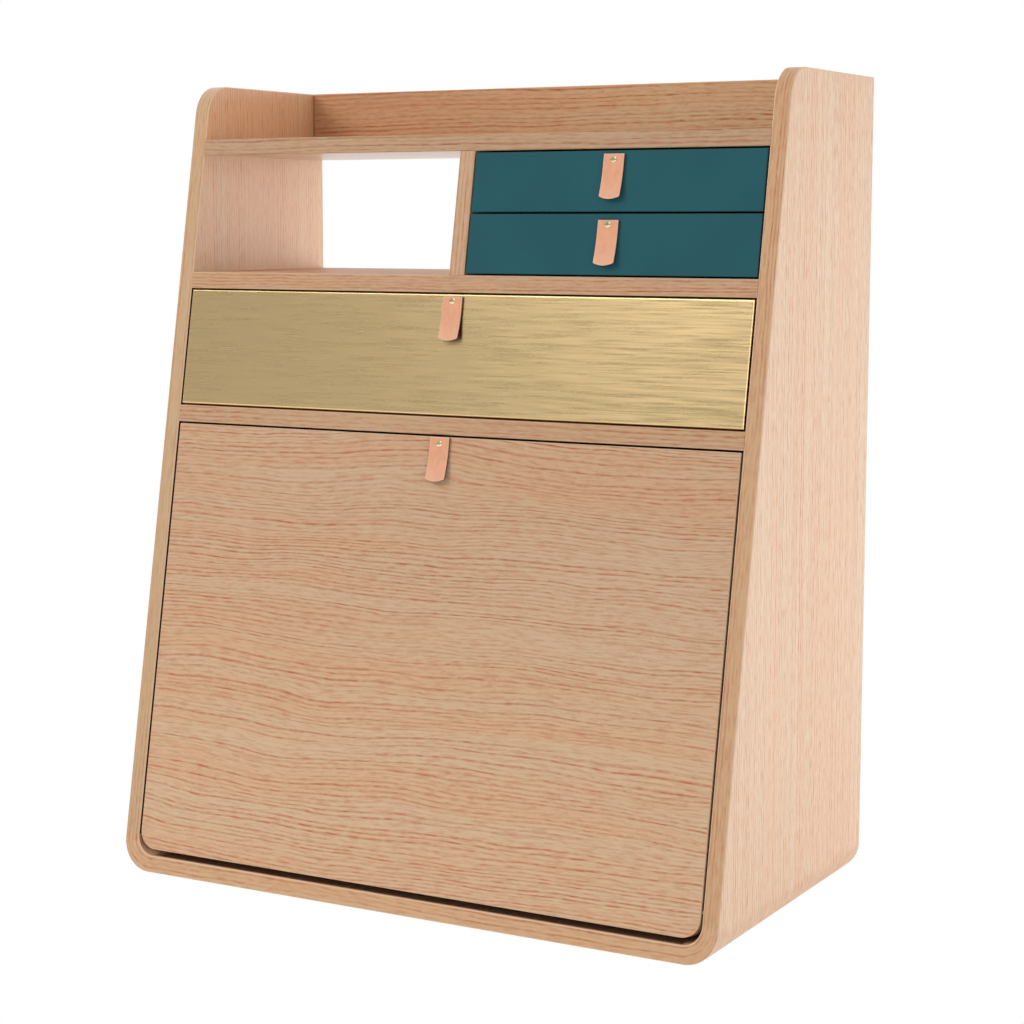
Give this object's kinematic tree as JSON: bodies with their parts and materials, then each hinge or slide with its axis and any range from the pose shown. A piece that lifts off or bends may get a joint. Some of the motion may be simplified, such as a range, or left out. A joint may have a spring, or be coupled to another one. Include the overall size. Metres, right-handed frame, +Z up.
{
  "type": "fold down wall desk",
  "caption": "Wall-hung oak desk with a leaning front, an open niche, painted and brass-faced drawers, leather pulls and a flap that drops level as a writing surface.",
  "frame": {"origin": "centre of the four wall screws, on the plane of the wall", "axes": "+X to the right seen from the front, +Y into the wall, +Z up"},
  "size_m": [0.6, 0.3199, 0.72],
  "materials": {
    "oak": "matt lacquered oak veneer",
    "beech": "plain hardwood",
    "drawer_wood": "matt lacquered wood",
    "teal_paint": "satin teal paint on board",
    "brushed_brass": "brushed brass",
    "brass_fitting": "polished brass",
    "steel": "plain steel",
    "catch_plastic": "brown plastic",
    "leather": "natural leather"
  },
  "bodies": {
    "carcass": {"left_side": "oak", "right_side": "oak", "left_corner": "oak", "right_corner": "oak", "bottom_panel": "oak", "corner_tongues": "beech", "top_shelf": "oak", "middle_shelf": "oak", "lower_shelf": "oak", "top_rail": "oak", "divider": "oak", "back_panel": "oak", "small_bay_back": "oak", "shelf_tenons": "beech", "flap_pivot_pins": "steel", "stay_studs": "brass_fitting", "flap_catches": "catch_plastic", "upper_drawer_runners": "beech", "lower_drawer_runners": "beech", "wide_drawer_runners": "beech"},
    "flap": {"flap_panel": "oak", "flap_pivot_bushes": "brass_fitting", "flap_strike_plates": "steel", "flap_pull": "leather", "flap_pull_screw": "brass_fitting", "left_stay_bracket": "brass_fitting", "right_stay_bracket": "brass_fitting", "stay_rivets": "brass_fitting"},
    "left_stay": {"left_stay": "brass_fitting"},
    "right_stay": {"right_stay": "brass_fitting"},
    "upper_drawer": {"upper_drawer_left_side": "drawer_wood", "upper_drawer_right_side": "drawer_wood", "upper_drawer_back": "drawer_wood", "upper_drawer_floor": "drawer_wood", "upper_drawer_pull": "leather", "upper_drawer_pull_screw": "brass_fitting", "upper_drawer_front": "teal_paint"},
    "lower_drawer": {"lower_drawer_left_side": "drawer_wood", "lower_drawer_right_side": "drawer_wood", "lower_drawer_back": "drawer_wood", "lower_drawer_floor": "drawer_wood", "lower_drawer_pull": "leather", "lower_drawer_pull_screw": "brass_fitting", "lower_drawer_front": "teal_paint"},
    "wide_drawer": {"wide_drawer_left_side": "drawer_wood", "wide_drawer_right_side": "drawer_wood", "wide_drawer_back": "drawer_wood", "wide_drawer_floor": "drawer_wood", "wide_drawer_pull": "leather", "wide_drawer_pull_screw": "brass_fitting", "wide_drawer_front": "drawer_wood", "wide_drawer_brass_face": "brushed_brass"}
  },
  "joints": [
    {"name": "flap_hinge", "type": "hinge", "parent": "carcass", "child": "flap", "pos_m": [0, -0.30461, -0.23857], "axis": [1, 0, 0], "range_deg": [0, 100.66]},
    {"name": "left_stay_swing", "type": "hinge", "parent": "flap", "child": "left_stay", "pos_m": [0, -0.26167, -0.11586], "axis": [1, 0, 0], "range_deg": [-50.33, 0]},
    {"name": "right_stay_swing", "type": "hinge", "parent": "flap", "child": "right_stay", "pos_m": [0, -0.26167, -0.11586], "axis": [1, 0, 0], "range_deg": [-50.33, 0]},
    {"name": "upper_drawer_slide", "type": "slide", "parent": "carcass", "child": "upper_drawer", "axis": [0, -1, 0], "range_m": [0, 0.11]},
    {"name": "lower_drawer_slide", "type": "slide", "parent": "carcass", "child": "lower_drawer", "axis": [0, -1, 0], "range_m": [0, 0.11]},
    {"name": "wide_drawer_slide", "type": "slide", "parent": "carcass", "child": "wide_drawer", "axis": [0, -1, 0], "range_m": [0, 0.125]}
  ],
  "couplings": [
    {"joint": "left_stay_swing", "follows": "flap_hinge", "ratio": -0.5},
    {"joint": "right_stay_swing", "follows": "flap_hinge", "ratio": -0.5}
  ]
}
